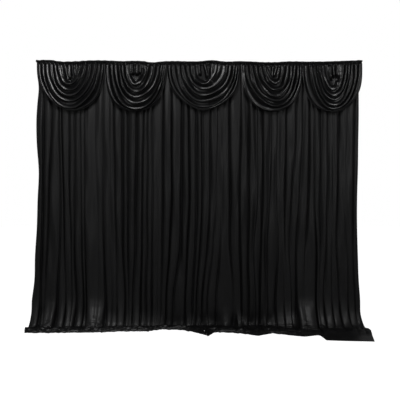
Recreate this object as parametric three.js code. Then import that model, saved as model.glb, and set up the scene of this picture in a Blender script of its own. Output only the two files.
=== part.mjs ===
// Photo backdrop curtain in thin black satin.
// Two gathered panels and five swags hang from one narrow bound heading, and the hems of the panels
// spread over the floor. Millimetres, +Z up. The front faces -Y, and the origin is the middle of the
// heading's top edge.
import * as THREE from 'three';

// Driving sizes
const CURTAIN_WIDTH = 3600;
const HEADING_HEIGHT = 2943;
const CLOTH = 2;
const FOLD_DEPTH = 50;
const SEAT_GAP = 0.3;

// Heading binding: a strip folded over the raw top edges of the panels and the swags
const BINDING_FALL = 22;
const BINDING_STEPS = 40;

// Gathered cloth starts a little under the binding's roof and stays straight to just below its lips
const RAW_EDGE_FALL = 5;
const STRAIGHT_FALL = 27;

// Backs of the panel folds and their depth, gathered in the binding and hanging free below it
const GATHERED_BACK = 9.7;
const GATHERED_DEPTH = 8.2;
const HANGING_BACK = 28;

// A fold crest stands forward by a share of the fold depth, less in a narrow fold than in a wide one
const NARROW_FOLD = 25;
const WIDE_FOLD = 120;
const NARROW_CREST = 0.74;
const THREE_POINT_CREST = [
  { share: 0.24, crest: 0.84 },
  { share: 0.5, crest: 1 },
  { share: 0.76, crest: 0.84 },
];
const TWO_POINT_CREST = [
  { share: 0.32, crest: 1 },
  { share: 0.68, crest: 1 },
];
const TWO_POINT_WIDTH = 75;

// Swags: distance in front of the heading's middle plane, and half depth of a fold, at the heading
// and where the swag hangs furthest forward
const SWAG_SEAT = 5;
const SWAG_GATHER = 2.5;
const SWAG_FRONT = 56;
const SWAG_FOLD = 12;
const SWAG_FULL_FALL = 560;
const SWAG_OPEN_FALL = 260;

// Height of the heading's top edge along the curtain: at is measured from the middle
const HEADING_WAVE = [
  { at: -1800, rise: 12 },
  { at: -1620, rise: 11 },
  { at: -1570, rise: 3 },
  { at: -1320, rise: 2 },
  { at: -1210, rise: 9 },
  { at: -1040, rise: 9 },
  { at: -880, rise: 2 },
  { at: -620, rise: 1 },
  { at: -540, rise: -11 },
  { at: -380, rise: 0 },
  { at: 0, rise: 0 },
  { at: 165, rise: 10 },
  { at: 255, rise: -1 },
  { at: 450, rise: 0 },
  { at: 840, rise: -10 },
  { at: 1010, rise: -1 },
  { at: 1170, rise: -4 },
  { at: 1620, rise: 5 },
  { at: 1800, rise: 12 },
];

// The creases of a panel keep their places at four levels below the heading
const TOP_LEVEL = 750;
const MID_LEVEL = 1530;
const LOW_LEVEL = 2080;
const FOOT_LEVEL = 2690;

// Creases of the left panel: places across at the four levels, then the depth of the crease above
// the middle level and at the foot. The first and last rows are the panel's own edges, and the
// tucked strip before the last one lies flat behind the right panel.
const LEFT_CREASES = [
  { top: -1795, mid: -1785, low: -1812, foot: -1852, upper: 30, lower: 30 },
  { top: -1720, mid: -1730, low: -1740, foot: -1755, upper: 45, lower: 40 },
  { top: -1630, mid: -1660, low: -1675, foot: -1705, upper: 40, lower: 22 },
  { top: -1545, mid: -1530, low: -1540, foot: -1565, upper: 40, lower: 42 },
  { top: -1515, mid: -1495, low: -1485, foot: -1465, upper: 50, lower: 35 },
  { top: -1432, mid: -1430, low: -1410, foot: -1400, upper: 40, lower: 18 },
  { top: -1377, mid: -1377, low: -1377, foot: -1355, upper: 35, lower: 35 },
  { top: -1307, mid: -1297, low: -1290, foot: -1272, upper: 35, lower: 50 },
  { top: -1266, mid: -1266, low: -1258, foot: -1240, upper: 30, lower: 44 },
  { top: -1155, mid: -1133, low: -1127, foot: -1122, upper: 16, lower: 16 },
  { top: -1066, mid: -1061, low: -1055, foot: -1033, upper: 30, lower: 46 },
  { top: -1000, mid: -983, low: -972, foot: -967, upper: 18, lower: 22 },
  { top: -941, mid: -928, low: -917, foot: -905, upper: 36, lower: 26 },
  { top: -853, mid: -845, low: -842, foot: -815, upper: 46, lower: 42 },
  { top: -789, mid: -789, low: -789, foot: -775, upper: 38, lower: 22 },
  { top: -690, mid: -701, low: -706, foot: -735, upper: 46, lower: 32 },
  { top: -616, mid: -629, low: -634, foot: -645, upper: 42, lower: 50 },
  { top: -573, mid: -575, low: -579, foot: -590, upper: 36, lower: 42 },
  { top: -523, mid: -515, low: -523, foot: -523, upper: 30, lower: 46 },
  { top: -455, mid: -455, low: -462, foot: -466, upper: 16, lower: 26 },
  { top: -402, mid: -402, low: -407, foot: -418, upper: 44, lower: 36 },
  { top: -302, mid: -302, low: -324, foot: -368, upper: 46, lower: 42 },
  { top: -191, mid: -199, low: -213, foot: -285, upper: 46, lower: 36 },
  { top: -110, mid: -102, low: -125, foot: -152, upper: 44, lower: 42 },
  { top: -30, mid: -30, low: -47, foot: -77, upper: 40, lower: 42 },
  { top: 34, mid: 36, low: 16, foot: -28, upper: 50, lower: 50, tucked: true },
  { top: 74, mid: 74, low: 54, foot: 12, upper: 50, lower: 50 },
];

// Creases of the right panel, in the same columns. Its first edge laps in front of the left panel's.
const RIGHT_CREASES = [
  { top: 48, mid: 45, low: 25, foot: -17, upper: 24, lower: 26 },
  { top: 122, mid: 119, low: 86, foot: 28, upper: 42, lower: 44 },
  { top: 197, mid: 186, low: 152, foot: 92, upper: 26, lower: 34 },
  { top: 263, mid: 252, low: 230, foot: 186, upper: 24, lower: 44 },
  { top: 330, mid: 344, low: 341, foot: 380, upper: 50, lower: 34 },
  { top: 463, mid: 444, low: 455, foot: 468, upper: 34, lower: 42 },
  { top: 551, mid: 549, low: 540, foot: 551, upper: 44, lower: 44 },
  { top: 640, mid: 640, low: 601, foot: 616, upper: 30, lower: 30 },
  { top: 706, mid: 706, low: 684, foot: 673, upper: 42, lower: 48 },
  { top: 795, mid: 773, low: 743, foot: 751, upper: 34, lower: 32 },
  { top: 856, mid: 850, low: 873, foot: 845, upper: 28, lower: 44 },
  { top: 917, mid: 898, low: 917, foot: 935, upper: 26, lower: 16 },
  { top: 961, mid: 945, low: 950, foot: 980, upper: 46, lower: 14 },
  { top: 1072, mid: 1022, low: 1000, foot: 1022, upper: 40, lower: 18 },
  { top: 1150, mid: 1111, low: 1072, foot: 1072, upper: 44, lower: 46 },
  { top: 1224, mid: 1205, low: 1172, foot: 1150, upper: 50, lower: 14 },
  { top: 1272, mid: 1272, low: 1294, foot: 1286, upper: 32, lower: 50 },
  { top: 1349, mid: 1349, low: 1342, foot: 1328, upper: 44, lower: 20 },
  { top: 1423, mid: 1419, low: 1404, foot: 1376, upper: 38, lower: 38 },
  { top: 1482, mid: 1474, low: 1471, foot: 1466, upper: 22, lower: 26 },
  { top: 1541, mid: 1524, low: 1515, foot: 1550, upper: 48, lower: 38 },
  { top: 1637, mid: 1604, low: 1637, foot: 1640, upper: 14, lower: 26 },
  { top: 1715, mid: 1700, low: 1700, foot: 1720, upper: 40, lower: 34 },
  { top: 1762, mid: 1745, low: 1752, foot: 1785, upper: 28, lower: 30 },
];

// Foot of each panel, by the place of its cloth at the foot level: how far in front of the curtain
// the hem roll and the hem's edge lie, and how far each of them swings sideways. The hem corner at
// the right end is spread flat on the floor.
const LEFT_HEM = [
  { at: -1852, roll: 185, reach: 250, rollSwing: -32, edgeSwing: -12 },
  { at: -1560, roll: 195, reach: 262, rollSwing: -18, edgeSwing: -25 },
  { at: -1250, roll: 180, reach: 238, rollSwing: -8, edgeSwing: -10 },
  { at: -1050, roll: 172, reach: 232, rollSwing: 0, edgeSwing: 0 },
  { at: -800, roll: 142, reach: 190, rollSwing: -8, edgeSwing: -12 },
  { at: -520, roll: 130, reach: 176, rollSwing: -12, edgeSwing: -20 },
  { at: -360, roll: 78, reach: 112, rollSwing: -40, edgeSwing: -50 },
  { at: -150, roll: 100, reach: 136, rollSwing: -34, edgeSwing: -44 },
  { at: -60, roll: 140, reach: 180, rollSwing: -34, edgeSwing: -46 },
  { at: 12, roll: 186, reach: 325, rollSwing: 38, edgeSwing: 64 },
];
const RIGHT_HEM = [
  { at: -20, roll: 190, reach: 365, rollSwing: 60, edgeSwing: 112 },
  { at: 90, roll: 172, reach: 236, rollSwing: 44, edgeSwing: 70 },
  { at: 200, roll: 170, reach: 228, rollSwing: 20, edgeSwing: 30 },
  { at: 420, roll: 202, reach: 270, rollSwing: 16, edgeSwing: 20 },
  { at: 600, roll: 236, reach: 338, rollSwing: 8, edgeSwing: 10 },
  { at: 760, roll: 204, reach: 268, rollSwing: 4, edgeSwing: 5 },
  { at: 1090, roll: 256, reach: 366, rollSwing: 0, edgeSwing: 0 },
  { at: 1240, roll: 235, reach: 312, rollSwing: 2, edgeSwing: 4 },
  { at: 1310, roll: 245, reach: 470, rollSwing: 4, edgeSwing: -18 },
  { at: 1430, roll: 255, reach: 545, rollSwing: 10, edgeSwing: -12 },
  { at: 1785, roll: 235, reach: 565, rollSwing: 40, edgeSwing: -36 },
];

// Sections of a panel above the foot, by their fall below the heading
const PANEL_FALLS = [RAW_EDGE_FALL, STRAIGHT_FALL, 130, 330, TOP_LEVEL, MID_LEVEL, LOW_LEVEL, FOOT_LEVEL];

// Sections of a panel through its foot: height above the floor, share of the way out to the roll and
// from there to the edge, turn of the folds from upright in degrees, and share of the fold depth
const FOOT_SECTIONS = [
  { up: 172, toRoll: 0.06, toEdge: 0, turn: 10, relief: 0.97 },
  { up: 110, toRoll: 0.2, toEdge: 0, turn: 24, relief: 0.92 },
  { up: 44, toRoll: 0.5, toEdge: 0, turn: 48, relief: 0.74 },
  { up: 8, toRoll: 0.79, toEdge: 0, turn: 78, relief: 0.44 },
  { up: 17, toRoll: 1, toEdge: 0, turn: 90, relief: 0.44 },
  { up: 3, toRoll: 1, toEdge: 0.55, turn: 90, relief: 0.16 },
  { up: 1.2, toRoll: 1, toEdge: 1, turn: 90, relief: 0.1 },
];

// Swags: the middle of each one, then its folds from the core outwards. A fold leaves the heading at
// left and right of the middle, and drop is its lowest point. The last row is the swag's own hem.
const SWAGS = [
  {
    name: 'swag_1',
    at: -1415,
    aside: 0,
    folds: [
      { left: 0, right: 0, drop: 165 },
      { left: 52, right: 50, drop: 205 },
      { left: 125, right: 107, drop: 273 },
      { left: 168, right: 158, drop: 332 },
      { left: 210, right: 210, drop: 396 },
      { left: 261, right: 271, drop: 454 },
      { left: 299, right: 316, drop: 529 },
      { left: 347, right: 348, drop: 545 },
      { left: 383, right: 369, drop: 556 },
    ],
  },
  {
    name: 'swag_2',
    at: -695,
    aside: 0,
    folds: [
      { left: 0, right: 0, drop: 165 },
      { left: 45, right: 52, drop: 212 },
      { left: 105, right: 116, drop: 283 },
      { left: 150, right: 188, drop: 350 },
      { left: 183, right: 249, drop: 418 },
      { left: 224, right: 284, drop: 482 },
      { left: 268, right: 306, drop: 544 },
      { left: 316, right: 321, drop: 554 },
      { left: 347, right: 336, drop: 562 },
    ],
  },
  {
    name: 'swag_3',
    at: 53,
    aside: 0,
    folds: [
      { left: 0, right: 0, drop: 170 },
      { left: 56, right: 66, drop: 212 },
      { left: 133, right: 147, drop: 269 },
      { left: 183, right: 238, drop: 329 },
      { left: 239, right: 294, drop: 392 },
      { left: 283, right: 335, drop: 466 },
      { left: 346, right: 362, drop: 521 },
      { left: 382, right: 384, drop: 545 },
      { left: 408, right: 402, drop: 554 },
    ],
  },
  {
    name: 'swag_4',
    at: 806,
    aside: 28,
    folds: [
      { left: 0, right: 0, drop: 130 },
      { left: 42, right: 52, drop: 176 },
      { left: 92, right: 122, drop: 262 },
      { left: 137, right: 172, drop: 326 },
      { left: 188, right: 212, drop: 396 },
      { left: 238, right: 248, drop: 454 },
      { left: 288, right: 287, drop: 502 },
      { left: 322, right: 309, drop: 546 },
      { left: 347, right: 325, drop: 558 },
    ],
  },
  {
    name: 'swag_5',
    at: 1474,
    aside: 0,
    folds: [
      { left: 0, right: 0, drop: 200 },
      { left: 48, right: 48, drop: 252 },
      { left: 124, right: 110, drop: 329 },
      { left: 152, right: 148, drop: 395 },
      { left: 178, right: 178, drop: 440 },
      { left: 206, right: 212, drop: 500 },
      { left: 248, right: 256, drop: 542 },
      { left: 304, right: 298, drop: 560 },
      { left: 339, right: 324, drop: 570 },
    ],
  },
];

// Steps of a swag fold: its crest, the hollow under it, and the rise to the next crest
const SWAG_STEPS = [
  { share: 0, relief: 1 },
  { share: 0.3, relief: -1 },
  { share: 0.66, relief: 0.1 },
];
const ARC_STEPS = 12;

const SATIN_BLACK = new THREE.Color(0.018, 0.018, 0.02);

function ease(value, from, to) {
  const t = THREE.MathUtils.clamp((value - from) / (to - from), 0, 1);
  return t * t * (3 - 2 * t);
}

function mix(a, b, share) {
  return a + (b - a) * share;
}

// Reads a column of a table at a place, with a smooth step from each row to the next
function along(table, place, column) {
  const first = table[0];
  const last = table[table.length - 1];
  if (place <= first.at) return first[column];
  if (place >= last.at) return last[column];
  const next = table.findIndex((row) => row.at > place);
  const before = table[next - 1];
  const after = table[next];
  return mix(before[column], after[column], ease(place, before.at, after.at));
}

function headingTop(x) {
  return along(HEADING_WAVE, x, 'rise');
}

// Height of a point that falls so far below the heading, whose wave fades out further down
function heightAt(x, fall) {
  const fade = 1 - ease(fall, 0, TOP_LEVEL);
  return headingTop(x) * fade - fall;
}

// Gives an open sheet its thickness: a front and a back layer, and a wall along every free edge
function thicken(points, faces, thickness) {
  const normals = points.map(() => new THREE.Vector3());
  const edgeA = new THREE.Vector3();
  const edgeB = new THREE.Vector3();
  for (const [a, b, c] of faces) {
    edgeA.subVectors(points[b], points[a]);
    edgeB.subVectors(points[c], points[a]);
    edgeA.cross(edgeB);
    for (const corner of [a, b, c]) normals[corner].add(edgeA);
  }
  const count = points.length;
  const positions = [];
  for (const side of [0.5, -0.5]) {
    points.forEach((point, i) => {
      const shifted = point.clone().addScaledVector(normals[i].clone().normalize(), side * thickness);
      positions.push(shifted.x, shifted.y, shifted.z);
    });
  }
  const index = [];
  const free = new Map();
  for (const [a, b, c] of faces) {
    index.push(a, b, c, count + c, count + b, count + a);
    for (const [from, to] of [[a, b], [b, c], [c, a]]) {
      if (!free.delete(`${to} ${from}`)) free.set(`${from} ${to}`, [from, to]);
    }
  }
  for (const [from, to] of free.values()) {
    index.push(from, count + from, count + to, from, count + to, to);
  }
  const geometry = new THREE.BufferGeometry();
  geometry.setAttribute('position', new THREE.Float32BufferAttribute(positions, 3));
  geometry.setIndex(index);
  geometry.computeVertexNormals();
  return geometry;
}

// Joins rows of point numbers into triangles that face the front
function stitch(rows) {
  const faces = [];
  for (let r = 0; r + 1 < rows.length; r += 1) {
    for (let c = 0; c + 1 < rows[r].length; c += 1) {
      const [a, b] = [rows[r][c], rows[r][c + 1]];
      const [d, e] = [rows[r + 1][c], rows[r + 1][c + 1]];
      if (a !== d) faces.push([a, d, b]);
      if (b !== e) faces.push([b, d, e]);
    }
  }
  return faces;
}

// Place across of a crease at a fall below the heading
function creasePlace(crease, fall) {
  if (fall <= TOP_LEVEL) return crease.top;
  if (fall <= MID_LEVEL) return mix(crease.top, crease.mid, (fall - TOP_LEVEL) / (MID_LEVEL - TOP_LEVEL));
  if (fall <= LOW_LEVEL) return mix(crease.mid, crease.low, (fall - MID_LEVEL) / (LOW_LEVEL - MID_LEVEL));
  return mix(crease.low, crease.foot, Math.min(1, (fall - LOW_LEVEL) / (FOOT_LEVEL - LOW_LEVEL)));
}

// Columns of a panel: every crease, then the points over the crest to the next crease
function panelColumns(creases) {
  const columns = [];
  creases.forEach((crease, i) => {
    columns.push({ crease: i, share: 0, crest: 0 });
    const next = creases[i + 1];
    if (!next || crease.tucked) return;
    const crests = next.top - crease.top > TWO_POINT_WIDTH ? THREE_POINT_CREST : TWO_POINT_CREST;
    for (const { share, crest } of crests) columns.push({ crease: i, share, crest });
  });
  return columns;
}

// How far a column stands in front of the backs of the creases, at full fold depth
function columnStand(creases, column, fall) {
  const near = creases[column.crease];
  const far = creases[Math.min(column.crease + 1, creases.length - 1)];
  const lower = ease(fall, MID_LEVEL, FOOT_LEVEL);
  const nearStand = FOLD_DEPTH - mix(near.upper, near.lower, lower);
  const farStand = FOLD_DEPTH - mix(far.upper, far.lower, lower);
  const width = creasePlace(far, fall) - creasePlace(near, fall);
  const crestStand = FOLD_DEPTH * mix(NARROW_CREST, 1, ease(width, NARROW_FOLD, WIDE_FOLD));
  return mix(mix(nearStand, farStand, column.share), crestStand, column.crest);
}

// One gathered panel, from its raw top edge in the binding to its hem on the floor
function panelGeometry(creases, hem) {
  const columns = panelColumns(creases);
  const points = [];
  const rows = [];
  const addRow = (place) => {
    rows.push(columns.map((column) => points.push(place(column)) - 1));
  };
  const across = (column, fall) => {
    const near = creasePlace(creases[column.crease], fall);
    const far = creasePlace(creases[Math.min(column.crease + 1, creases.length - 1)], fall);
    return mix(near, far, column.share);
  };
  for (const fall of PANEL_FALLS) {
    const open = ease(fall, STRAIGHT_FALL, TOP_LEVEL);
    const back = mix(GATHERED_BACK, HANGING_BACK, open);
    const depth = mix(GATHERED_DEPTH, FOLD_DEPTH, open);
    addRow((column) => {
      const x = across(column, fall);
      const stand = (depth * columnStand(creases, column, fall)) / FOLD_DEPTH;
      return new THREE.Vector3(x, back - stand, heightAt(x, fall));
    });
  }
  for (const section of FOOT_SECTIONS) {
    const turn = THREE.MathUtils.degToRad(section.turn);
    addRow((column) => {
      const foot = across(column, FOOT_LEVEL);
      const roll = along(hem, foot, 'roll');
      const reach = along(hem, foot, 'reach');
      const rollSwing = along(hem, foot, 'rollSwing') * section.toRoll;
      const swing = mix(rollSwing, along(hem, foot, 'edgeSwing'), section.toEdge);
      const out = (roll + HANGING_BACK) * section.toRoll + (reach - roll) * section.toEdge;
      const stand = columnStand(creases, column, FOOT_LEVEL) * section.relief;
      return new THREE.Vector3(
        foot + swing,
        HANGING_BACK - out - stand * Math.cos(turn),
        section.up + stand * Math.sin(turn) - HEADING_HEIGHT,
      );
    });
  }
  return thicken(points, stitch(rows), CLOTH);
}

// Crest and hollow lines of a swag, from its core to its hem
function swagLines(folds) {
  const lines = [];
  for (let i = 0; i + 1 < folds.length; i += 1) {
    const fold = folds[i];
    const next = folds[i + 1];
    const last = i + 2 === folds.length;
    for (const step of last ? SWAG_STEPS.slice(0, 1) : SWAG_STEPS) {
      lines.push({
        left: mix(fold.left, next.left, step.share),
        right: mix(fold.right, next.right, step.share),
        drop: mix(fold.drop, next.drop, step.share),
        relief: step.relief,
      });
    }
  }
  lines.push({ ...folds[folds.length - 1], relief: -1 });
  return lines;
}

// Distance of a swag's cloth in front of the heading's middle plane
function swagFront(fall, relief) {
  const share = THREE.MathUtils.clamp((fall - STRAIGHT_FALL) / (SWAG_FULL_FALL - STRAIGHT_FALL), 0, 1);
  const front = mix(SWAG_SEAT, SWAG_FRONT, Math.sin((Math.PI / 2) * share));
  const fold = mix(SWAG_GATHER, SWAG_FOLD, ease(fall, STRAIGHT_FALL, SWAG_OPEN_FALL));
  return front + fold * relief;
}

// One swag: its folds run from the heading down, round and back up to the heading
function swagGeometry(swag) {
  const points = [];
  const rows = swagLines(swag.folds).map((line, r) => {
    const row = [];
    for (let step = -1; step <= ARC_STEPS + 1; step += 1) {
      const angle = Math.PI * THREE.MathUtils.clamp(step / ARC_STEPS, 0, 1);
      const onEdge = step < 0 || step > ARC_STEPS;
      const low = Math.sin(angle);
      const side = Math.cos(angle);
      const x = swag.at + swag.aside * low * low - (side > 0 ? line.left : line.right) * side;
      const fall = onEdge ? RAW_EDGE_FALL : STRAIGHT_FALL + (line.drop - STRAIGHT_FALL) * low;
      const mirrored = r === 0 && step > ARC_STEPS / 2;
      if (mirrored) {
        row.push(row[ARC_STEPS - step + 1]);
      } else {
        row.push(points.push(new THREE.Vector3(x, -swagFront(fall, line.relief), heightAt(x, fall))) - 1);
      }
    }
    return row;
  });
  return thicken(points, stitch(rows), CLOTH);
}

// Binding: a strip of cloth folded over the top, drawn as a U along the heading
function bindingGeometry() {
  const inFront = SWAG_SEAT + SWAG_GATHER + CLOTH / 2 + SEAT_GAP;
  const inBack = GATHERED_BACK + CLOTH / 2 + SEAT_GAP;
  const section = [
    [-inFront - CLOTH, 0],
    [-inFront - CLOTH, -BINDING_FALL],
    [-inFront, -BINDING_FALL],
    [-inFront, -CLOTH],
    [inBack, -CLOTH],
    [inBack, -BINDING_FALL],
    [inBack + CLOTH, -BINDING_FALL],
    [inBack + CLOTH, 0],
  ];
  const outline = section.map(([y, z]) => new THREE.Vector2(y, z));
  const cap = THREE.ShapeUtils.triangulateShape(outline, []);
  const positions = [];
  for (let i = 0; i <= BINDING_STEPS; i += 1) {
    const x = mix(-CURTAIN_WIDTH / 2, CURTAIN_WIDTH / 2, i / BINDING_STEPS);
    for (const [y, z] of section) positions.push(x, y, headingTop(x) + z);
  }
  const size = section.length;
  const index = [];
  for (let i = 0; i < BINDING_STEPS; i += 1) {
    for (let k = 0; k < size; k += 1) {
      const a = i * size + k;
      const b = i * size + ((k + 1) % size);
      index.push(a, b, a + size, b, b + size, a + size);
    }
  }
  const end = BINDING_STEPS * size;
  for (const [a, b, c] of cap) index.push(c, b, a, end + a, end + b, end + c);
  const geometry = new THREE.BufferGeometry();
  geometry.setAttribute('position', new THREE.Float32BufferAttribute(positions, 3));
  geometry.setIndex(index);
  geometry.computeVertexNormals();
  return geometry;
}

function cloth(name, geometry, roughness) {
  const material = new THREE.MeshStandardMaterial({ color: SATIN_BLACK, roughness, metalness: 0 });
  const mesh = new THREE.Mesh(geometry, material);
  mesh.name = name;
  return mesh;
}

const curtain = new THREE.Group();
curtain.add(cloth('heading_binding', bindingGeometry(), 0.6));
curtain.add(cloth('panel_left', panelGeometry(LEFT_CREASES, LEFT_HEM), 0.55));
curtain.add(cloth('panel_right', panelGeometry(RIGHT_CREASES, RIGHT_HEM), 0.55));
for (const swag of SWAGS) curtain.add(cloth(swag.name, swagGeometry(swag), 0.4));

export default curtain;
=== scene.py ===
"""Looks of a black satin photo backdrop curtain.

Two gathered panels and five swags hang from one bound heading, and the hems of the panels spread over
the floor. Blender objects are in metres. The origin is the middle of the heading's top edge, +X runs to
the viewer's right, -Y faces the viewer and +Z is up. The tables of creases, hems and folds are in
millimetres, as a cutter would write them.
"""

import logging
import math
from dataclasses import dataclass, field
from enum import Enum

import bpy
import numpy as np
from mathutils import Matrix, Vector


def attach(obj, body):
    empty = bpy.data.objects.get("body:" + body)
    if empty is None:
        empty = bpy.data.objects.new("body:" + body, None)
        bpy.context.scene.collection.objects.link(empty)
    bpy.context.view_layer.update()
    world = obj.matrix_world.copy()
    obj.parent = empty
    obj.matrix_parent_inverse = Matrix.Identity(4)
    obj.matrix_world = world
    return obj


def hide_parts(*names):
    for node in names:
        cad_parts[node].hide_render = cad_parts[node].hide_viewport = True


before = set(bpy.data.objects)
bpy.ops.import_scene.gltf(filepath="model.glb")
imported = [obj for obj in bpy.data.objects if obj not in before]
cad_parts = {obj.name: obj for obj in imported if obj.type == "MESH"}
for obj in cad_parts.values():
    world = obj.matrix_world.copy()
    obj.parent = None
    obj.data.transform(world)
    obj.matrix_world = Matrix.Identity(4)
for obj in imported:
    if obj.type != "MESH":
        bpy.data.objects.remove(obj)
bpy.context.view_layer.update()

MM = 0.001
BODY = "root"
HEADING_WIDTH = 3.600
HEADING_HEIGHT = 2.943
# Fall over which the wave of the heading's top edge fades out
WAVE_FADE = 0.75
# Added to every step along a swag's line, so that the way along it always grows
LEAST_STEP = 1e-6
SWAG_SEED = 30
WHITE = (1, 1, 1, 1)

log = logging.getLogger("curtain")


class Held(Enum):
    """How a sheet of cloth is held."""

    GATHERED = "gathered"
    DRAPED = "draped"
    FOLDED = "folded"


class LightKind(Enum):
    """Kinds of studio light."""

    AREA = "AREA"
    SPOT = "SPOT"


@dataclass(frozen=True)
class WavePoint:
    """Rise of the heading's top edge at a place along the curtain, in millimetres."""

    at: float
    rise: float


@dataclass(frozen=True)
class Crease:
    """One crease of a panel, in millimetres.

    top, mid, low and foot are its places across at four levels. upper and lower are its depth above the
    middle level and at the foot. A tucked crease starts the strip that lies flat behind the next panel.
    face is the slope of the fold that it starts: above 0 the fold faces the viewer's left.
    """

    top: float
    mid: float
    low: float
    foot: float
    upper: float
    lower: float
    tucked: bool = False
    face: float = 0.0


@dataclass(frozen=True)
class HemPoint:
    """How a panel's hem lies on the floor at a place across, in millimetres.

    roll and reach are how far its roll and its edge lie in front of the hanging cloth, and the swings
    are how far they lie to the viewer's right of it.
    """

    at: float
    roll: float
    reach: float
    roll_swing: float
    edge_swing: float


@dataclass(frozen=True)
class SidePoint:
    """Shift across of a panel's outer side at a fall below the heading, in millimetres."""

    fall: float
    shift: float


@dataclass(frozen=True)
class FootStation:
    """Section of a panel through its foot, at a height in millimetres.

    narrow and broad are the shares of the way out to the hem's roll, of narrow and of broad folds.
    to_edge is the share of the way on from the roll to the hem's edge. turn is the way the folds stand
    out, in degrees: 0 is forward and 90 is up. relief is the share of their stand.
    """

    up: float
    narrow: float
    broad: float
    to_edge: float
    turn: float
    relief: float


@dataclass(frozen=True)
class SwagFold:
    """One fold of a swag, in millimetres: where it leaves the heading, and its lowest point."""

    left: float
    right: float
    drop: float


@dataclass(frozen=True)
class Pleat:
    """One short pressed pleat of a swag, in millimetres from the swag's middle and the heading.

    It runs from at, head to foot, fall. lean is how much its broad side faces the viewer's right, or
    the left below 0.
    """

    at: float
    foot: float
    fall: float
    stand: float
    width: float
    lean: float = 0.0
    head: float = 18.0


HEADING_WAVE = (
    WavePoint(at=-1800, rise=12),
    WavePoint(at=-1620, rise=11),
    WavePoint(at=-1570, rise=3),
    WavePoint(at=-1320, rise=2),
    WavePoint(at=-1210, rise=9),
    WavePoint(at=-1040, rise=9),
    WavePoint(at=-880, rise=2),
    WavePoint(at=-620, rise=1),
    WavePoint(at=-540, rise=-11),
    WavePoint(at=-380, rise=0),
    WavePoint(at=0, rise=0),
    WavePoint(at=165, rise=10),
    WavePoint(at=255, rise=-1),
    WavePoint(at=450, rise=0),
    WavePoint(at=840, rise=-10),
    WavePoint(at=1010, rise=-1),
    WavePoint(at=1170, rise=-4),
    WavePoint(at=1620, rise=5),
    WavePoint(at=1800, rise=12),
)

LEFT_CREASES = (
    Crease(top=-1795, mid=-1785, low=-1812, foot=-1852, upper=30, lower=30),
    Crease(top=-1720, mid=-1730, low=-1740, foot=-1755, upper=45, lower=40),
    Crease(top=-1630, mid=-1660, low=-1675, foot=-1705, upper=40, lower=26),
    Crease(top=-1545, mid=-1530, low=-1540, foot=-1565, upper=40, lower=42),
    Crease(top=-1515, mid=-1495, low=-1485, foot=-1465, upper=50, lower=35),
    Crease(top=-1432, mid=-1430, low=-1410, foot=-1400, upper=40, lower=18),
    Crease(top=-1377, mid=-1377, low=-1377, foot=-1355, upper=35, lower=35),
    Crease(top=-1307, mid=-1297, low=-1290, foot=-1272, upper=35, lower=50),
    Crease(top=-1266, mid=-1266, low=-1258, foot=-1240, upper=30, lower=44),
    Crease(top=-1155, mid=-1133, low=-1127, foot=-1122, upper=16, lower=8),
    Crease(top=-1066, mid=-1061, low=-1055, foot=-1033, upper=30, lower=46),
    Crease(top=-1000, mid=-983, low=-972, foot=-967, upper=18, lower=26),
    Crease(top=-941, mid=-928, low=-917, foot=-905, upper=36, lower=26),
    Crease(top=-853, mid=-845, low=-842, foot=-815, upper=46, lower=42),
    Crease(top=-789, mid=-789, low=-789, foot=-775, upper=38, lower=22),
    Crease(top=-690, mid=-701, low=-706, foot=-735, upper=46, lower=32),
    Crease(top=-616, mid=-629, low=-634, foot=-645, upper=42, lower=50),
    Crease(top=-573, mid=-575, low=-579, foot=-590, upper=36, lower=42),
    Crease(top=-523, mid=-515, low=-523, foot=-523, upper=30, lower=46),
    Crease(top=-455, mid=-455, low=-462, foot=-466, upper=16, lower=26),
    Crease(top=-402, mid=-402, low=-407, foot=-418, upper=44, lower=36),
    Crease(top=-302, mid=-302, low=-324, foot=-368, upper=46, lower=42),
    Crease(top=-191, mid=-199, low=-213, foot=-285, upper=46, lower=36),
    Crease(top=-110, mid=-102, low=-125, foot=-152, upper=44, lower=42),
    Crease(top=-30, mid=-30, low=-47, foot=-77, upper=40, lower=42),
    Crease(top=34, mid=36, low=16, foot=-28, upper=50, lower=50, tucked=True),
    Crease(top=74, mid=74, low=54, foot=12, upper=50, lower=50),
)

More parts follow.
